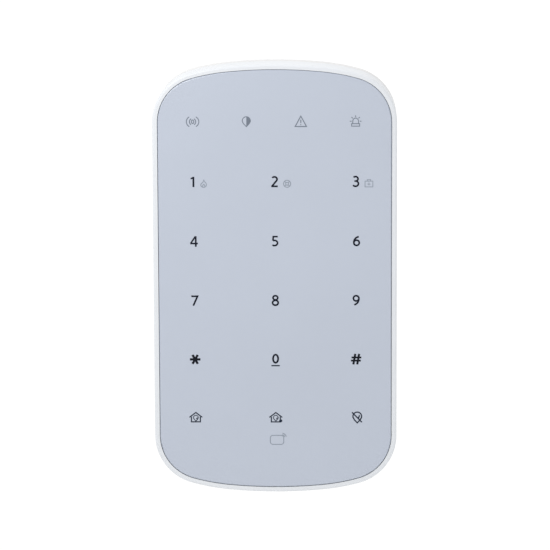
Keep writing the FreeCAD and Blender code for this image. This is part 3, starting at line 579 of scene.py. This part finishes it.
def door_plastic():
    return moulded_plastic("door_plastic", linear(221, 221, 221), 0.5, 0.008, 0.4)


def bracket_plastic():
    return moulded_plastic("bracket_plastic", linear(214, 215, 216), 0.55, 0.01, 0.5)


def panel_glass():
    """Glass printed on its back, as one opaque layer under a clear polished face."""
    finish = Finish("panel_glass")
    finish.mottled(linear(185, 192, 205), 0.012, 40)
    finish.rough(0.3, 0.36, 15)
    finish.set(Coat_Weight=1.0, Coat_Roughness=0.03, Coat_IOR=1.5, IOR=1.35)
    finish.bump(finish.noise(30, detail=1), 0.002)
    return finish


def guide_plastic():
    finish = moulded_plastic("guide_plastic", linear(236, 238, 240), 0.3, 0.002, 0.3)
    finish.set(Subsurface_Weight=0.2, Subsurface_Radius=(0.002, 0.002, 0.002))
    return finish


def tape():
    finish = Finish("tape")
    finish.mottled(linear(38, 38, 40), 0.1, 3)
    finish.rough(0.6, 0.8, 2)
    finish.bump(finish.cells(0.5), 0.02)
    return finish


# ---------------------------------------------------------------- materials of the inside


def brushed(name, colour, roughness=0.3, spacing=0.08):
    """Metal with fine lines along x, and dull patches."""
    finish = Finish(name)
    lines = finish.noise(spacing, detail=2, place=finish.stretched(0.04, 1, 1))
    finish.mottled(colour, 0.05, 4)
    finish.rough(roughness - 0.08, roughness + 0.1, 3)
    finish.set(Metallic=1.0)
    finish.bump(lines, 0.002)
    return finish


def copper():
    return brushed("copper", linear(214, 150, 108), 0.32)


def tinned_steel():
    return brushed("tinned_steel", linear(198, 200, 202), 0.3)


def nickel():
    return brushed("nickel", linear(190, 188, 182), 0.26)


def screw_steel():
    return brushed("screw_steel", linear(176, 178, 182), 0.28)


def brass():
    return brushed("brass", linear(205, 172, 98), 0.3)


def switch_metal():
    return brushed("switch_metal", linear(184, 186, 190), 0.3)


def spring_steel():
    return brushed("spring_steel", linear(168, 170, 174), 0.24, 0.05)


def solder_mask(name, colour, track_colour):
    """A lacquered circuit board with fine raised tracks under the lacquer."""
    finish = Finish(name)
    tracks = finish.nodes.new("ShaderNodeTexBrick")
    tracks.inputs["Scale"].default_value = 1 / (4 * MM)
    tracks.inputs["Mortar Size"].default_value = 0.035
    tracks.inputs["Mortar Smooth"].default_value = 0.2
    tracks.inputs["Color1"].default_value = colour
    tracks.inputs["Color2"].default_value = scaled(colour, 0.94)
    tracks.inputs["Mortar"].default_value = track_colour
    swap = finish.nodes.new("ShaderNodeMapping")
    swap.inputs["Rotation"].default_value = (math.radians(90), 0, 0)
    finish.links.new(finish.place, swap.inputs["Vector"])
    finish.links.new(swap.outputs["Vector"], tracks.inputs["Vector"])
    finish.links.new(tracks.outputs["Color"], finish.shader.inputs["Base Color"])
    finish.rough(0.28, 0.4, 3)
    finish.bump(tracks.outputs["Fac"], 0.02)
    return finish


def touch_board():
    return solder_mask("touch_board", linear(232, 233, 232), linear(208, 210, 208))


def main_board():
    return solder_mask("main_board", linear(22, 84, 52), linear(38, 112, 70))


def led():
    finish = Finish("led")
    finish.mottled(linear(238, 226, 160), 0.06, 0.6)
    finish.rough(0.15, 0.3, 1)
    return finish


def black_moulding(name, colour, roughness):
    finish = Finish(name)
    finish.mottled(colour, 0.12, 1.5)
    finish.rough(roughness - 0.08, roughness + 0.08, 1)
    finish.bump(finish.noise(0.12, detail=2), 0.006)
    return finish


def chip_plastic():
    return black_moulding("chip_plastic", linear(34, 34, 36), 0.55)


def connector_plastic():
    return black_moulding("connector_plastic", linear(228, 222, 204), 0.45)


def sounder_plastic():
    return black_moulding("sounder_plastic", linear(28, 28, 30), 0.5)


def switch_plastic():
    return black_moulding("switch_plastic", linear(40, 40, 42), 0.5)


def plunger_plastic():
    return black_moulding("plunger_plastic", linear(209, 209, 204), 0.4)


def lever_plastic():
    return black_moulding("lever_plastic", linear(52, 52, 54), 0.45)


def ferrite():
    finish = Finish("ferrite")
    finish.mottled(linear(62, 60, 60), 0.15, 1.2)
    finish.rough(0.5, 0.75, 1)
    finish.bump(finish.cells(2.2), 0.02)
    return finish


def cable_film():
    """Flat cable: a white film with broad pale bands along it."""
    finish = Finish("cable_film")
    finish.colour(finish.waves(1.0, "X"), (0.35, linear(232, 232, 228)), (0.65, linear(196, 196, 190)))
    finish.rough(0.3, 0.4, 4)
    finish.bump(finish.waves(1.0, "X"), 0.05)
    return finish


def capacitor_sleeve():
    """A printed sleeve, wrinkled where it shrank on."""
    finish = Finish("capacitor_sleeve")
    finish.mottled(linear(26, 44, 92), 0.1, 2)
    finish.rough(0.25, 0.4, 2)
    finish.bump(finish.noise(0.8, place=finish.stretched(0.2, 1, 1)), 0.03)
    return finish


def ceramic_chip():
    finish = Finish("ceramic_chip")
    finish.mottled(linear(176, 148, 112), 0.12, 0.5)
    finish.rough(0.35, 0.5, 0.5)
    finish.bump(finish.noise(0.1), 0.004)
    return finish


def cell_sleeve():
    """A cell's shrink sleeve: a pale grey body with a darker band near its upper end."""
    finish = Finish("cell_sleeve")
    bands = finish.waves(12.6, "Z")
    band, body, middle = linear(84, 88, 96), linear(150, 154, 160), linear(172, 176, 182)
    finish.colour(bands, (0.25, band), (0.35, body), (0.8, middle))
    finish.rough(0.22, 0.34, 3)
    finish.set(Metallic=0.35)
    finish.bump(finish.noise(0.6, place=finish.stretched(1, 1, 0.2)), 0.01)
    return finish


def label():
    """Matt coated paper."""
    finish = Finish("label")
    finish.mottled(linear(240, 240, 236), 0.02, 2)
    finish.rough(0.55, 0.7, 1)
    finish.bump(finish.noise(0.25, detail=4), 0.008)
    return finish


def ink(name, colour):
    """Screen-printed ink: slightly uneven in density, and a touch matt."""
    finish = Finish(name)
    finish.mottled(colour, 0.06, 0.6)
    finish.rough(0.38, 0.5, 0.8)
    finish.bump(finish.noise(0.15), 0.003)
    finish.set(Specular_IOR_Level=0.2)
    return finish.material


def dress_cad_nodes():
    """Each CAD node takes the material of its slot, made by the function with the slot's name."""
    made = {}
    for subpart in frame["record"]["subparts"]:
        slot = subpart["material_slot"]
        if slot not in made:
            made[slot] = globals()[slot]().material
        for material_slot in frame["nodes"][subpart["node"]].material_slots:
            material_slot.material = made[slot]


# ---------------------------------------------------------------- the tamper switch's spring


def tamper_coil():
    """The spring under the plunger's collar. Its far end stays put, so it shortens as the plunger goes in."""
    node = frame["nodes"]["tamper_spring"]
    piece = bpy.data.objects.new("tamper_coil", node.data.copy())
    bpy.context.scene.collection.objects.link(piece)
    for place, given in zip(piece.material_slots, node.material_slots):
        place.material = given.material
    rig.ride(piece, "keypad")
    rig.replaces(piece, "tamper_spring")
    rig.slot(piece, "spring_steel")
    low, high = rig.box("tamper_spring")
    joints = {joint["name"]: joint for joint in frame["record"]["behaviour"]["joints"]}
    travel = joints["tamper_press"]["range_m"][1]
    keep = 1 - travel / (high.y - low.y)
    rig.squash(piece, "tamper_press", axis=(0, 1, 0), anchor=tuple(low), keep=keep)


# ---------------------------------------------------------------- the print on the glass
COLUMNS = (-28.65, -0.12, 28.67)
KEY_ROWS = (35.31, 14.06, -7.15, -28.42)
STATUS_ROW = 56.6
MODE_ROW = -49.6
SMALL_ROW = 34.55
CARD_ROW = -57.55


def print_digits(digit_ink, bold_ink):
    rows = (
        (("1", digit_one), ("2", digit_two), ("3", digit_three)),
        (("4", digit_four), ("5", digit_five), ("6", digit_six)),
        (("7", digit_seven), ("8", digit_eight), ("9", digit_nine)),
    )
    for z, row in zip(KEY_ROWS, rows):
        for x, (digit, shape) in zip(COLUMNS, row):
            print_mark("print_" + digit, shape(), x, z, digit_ink)
    z = KEY_ROWS[-1]
    print_mark("print_star", star(), COLUMNS[0], z, bold_ink)
    print_mark("print_0", digit_zero(), COLUMNS[1], z, digit_ink)
    print_mark("print_hash", hash_sign(), COLUMNS[2], z, bold_ink)


def print_everything():
    digit_ink = ink("digit_ink", linear(9, 16, 33))
    bold_ink = ink("bold_ink", linear(2, 7, 20))
    mode_ink = ink("mode_ink", linear(30, 40, 56))
    status_ink = ink("status_ink", linear(112, 120, 132))
    pale_ink = ink("pale_ink", linear(138, 146, 158))
    print_digits(digit_ink, bold_ink)
    print_mark("print_underline", underline(), COLUMNS[1], KEY_ROWS[-1], mode_ink)
    print_mark("print_radio", radio_waves(0.32), -28.85, STATUS_ROW, status_ink)
    print_mark("print_armed", shield(2.85, 3.5, 0.3) + half_shield(2.85, 3.5), -9.9, STATUS_ROW, status_ink)
    print_mark("print_trouble", warning_triangle(0.35), 9.3, STATUS_ROW, status_ink)
    print_mark("print_siren", moved(siren(0.34), 0, 0, 0.88), 28.6, STATUS_ROW, status_ink)
    print_mark("print_flame", flame(0.3), -25.1, SMALL_ROW, pale_ink)
    print_mark("print_help", lifebuoy(0.3), 4.4, SMALL_ROW, pale_ink)
    print_mark("print_first_aid", moved(first_aid_case(0.27), 0, 0, 0.95), 33.3, SMALL_ROW + 0.2, pale_ink)
    print_mark("print_home", house(0.42), -28.5, MODE_ROW, mode_ink)
    print_mark("print_home_night", house_night(0.42), 0.1, MODE_ROW, mode_ink)
    print_mark("print_disarm", shield_struck_out(0.46), 29.2, MODE_ROW, mode_ink)
    print_mark("print_card", card_mark(0.3), 0.8, CARD_ROW, pale_ink)


# ---------------------------------------------------------------- studio
# How far the floor lies below the object, and where its fade starts and ends, in metres from the middle.
FLOOR_GAP = 0.25
FLOOR_FADE = (0.45, 0.85)


def floor():
    """A plain pale round floor, well below the object, that fades out towards its rim."""
    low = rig.bounds()[0].z - FLOOR_GAP
    fade_start, reach = FLOOR_FADE
    rim = arc(0, 0, reach, reach, 0, 360, 64)[:-1]
    data = bpy.data.meshes.new("studio_floor")
    data.from_pydata([(x, y, low) for x, y in rim], [], [range(len(rim))])
    piece = bpy.data.objects.new("studio_floor", data)
    bpy.context.scene.collection.objects.link(piece)
    finish = Finish("studio_floor")
    finish.mottled(linear(250, 250, 250), 0.01, 200)
    finish.set(Roughness=0.9)
    flat = finish.stretched(1, 1, 0)
    distance = finish.nodes.new("ShaderNodeVectorMath")
    distance.operation = "LENGTH"
    finish.links.new(flat, distance.inputs[0])
    fade = finish.between(distance.outputs["Value"], (fade_start, reach), (1, 0))
    finish.links.new(fade, finish.shader.inputs["Alpha"])
    data.materials.append(finish.material)
    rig.stage(piece)


# Light from the surroundings: its mean, and how much it grows to the right, to the back and upwards.
SURROUNDINGS = 0.79
SURROUNDINGS_SLOPE = (-0.1, 0.2, 0.34)
BACKDROP = 1.05


def white_surroundings():
    """Soft light from all round, strongest from above and behind. The camera sees a white backdrop."""
    world = bpy.data.worlds.new("studio")
    world.use_nodes = True
    nodes, links = world.node_tree.nodes, world.node_tree.links
    direction = nodes.new("ShaderNodeTexCoord")
    slope = nodes.new("ShaderNodeVectorMath")
    slope.operation = "DOT_PRODUCT"
    slope.inputs[1].default_value = SURROUNDINGS_SLOPE
    links.new(direction.outputs["Generated"], slope.inputs[0])
    level = nodes.new("ShaderNodeMath")
    level.inputs[1].default_value = SURROUNDINGS
    links.new(slope.outputs["Value"], level.inputs[0])
    light_path = nodes.new("ShaderNodeLightPath")
    strength = nodes.new("ShaderNodeMix")
    strength.inputs["B"].default_value = BACKDROP
    links.new(light_path.outputs["Is Camera Ray"], strength.inputs["Factor"])
    links.new(level.outputs["Value"], strength.inputs["A"])
    links.new(strength.outputs["Result"], nodes["Background"].inputs["Strength"])
    nodes["Background"].inputs["Color"].default_value = (1, 1, 1, 1)
    bpy.context.scene.world = world


# Each light's place, the point that it faces, its width in metres and its power in watts.
KEY_LIGHT = ((-0.15, -0.32, 0.2), (0, 0, 0.04), 0.2, 0.62)
SIDE_LIGHT = ((0.45, -0.12, -0.05), (0, 0, -0.03), 0.3, 0.25)


def soft_light(name, place, target, size, power):
    """A square lamp with soft shadows."""
    data = bpy.data.lights.new(name, "AREA")
    data.shape = "SQUARE"
    data.size = size
    data.energy = power
    lamp = bpy.data.objects.new(name, data)
    lamp.location = place
    lamp.rotation_euler = (Vector(target) - Vector(place)).to_track_quat("-Z", "Y").to_euler()
    bpy.context.scene.collection.objects.link(lamp)


# Distance in metres, angles in degrees, target height and lens in millimetres.
CAMERA_DISTANCE = 1.131
CAMERA_AZIMUTH = 1.37
CAMERA_ELEVATION = 9.0
CAMERA_ROLL = -0.222
CAMERA_TARGET_HEIGHT = 1.92
CAMERA_LENS = 208.6
SENSOR_WIDTH = 36


def camera():
    """Almost square on to the front, from a little above, so that the top of the casing shows."""
    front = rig.box("front_glass")[0].y
    target = Vector((0, front, CAMERA_TARGET_HEIGHT * MM))
    side, up = math.radians(CAMERA_AZIMUTH), math.radians(CAMERA_ELEVATION)
    back = Vector((math.sin(side) * math.cos(up), -math.cos(side) * math.cos(up), math.sin(up)))
    data = bpy.data.cameras.new("camera")
    data.lens = CAMERA_LENS
    data.sensor_width = SENSOR_WIDTH
    data.clip_start, data.clip_end = 0.01, 50
    piece = bpy.data.objects.new("camera", data)
    piece.location = target + back * CAMERA_DISTANCE
    turn = (-back).to_track_quat("-Z", "Y").to_matrix()
    roll = Matrix.Rotation(math.radians(CAMERA_ROLL), 3, "Z")
    piece.rotation_euler = (turn @ roll).to_euler()
    bpy.context.scene.collection.objects.link(piece)
    bpy.context.scene.camera = piece


def studio():
    bpy.context.scene.view_settings.view_transform = "Standard"
    floor()
    white_surroundings()
    soft_light("key_light", *KEY_LIGHT)
    soft_light("side_light", *SIDE_LIGHT)
    camera()


dress_cad_nodes()
tamper_coil()
print_everything()
studio()

final_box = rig.bounds()
with open("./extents.json", "w") as size_file:
    json.dump({"cad": [list(c) for c in cad_box], "final": [list(c) for c in final_box]}, size_file)
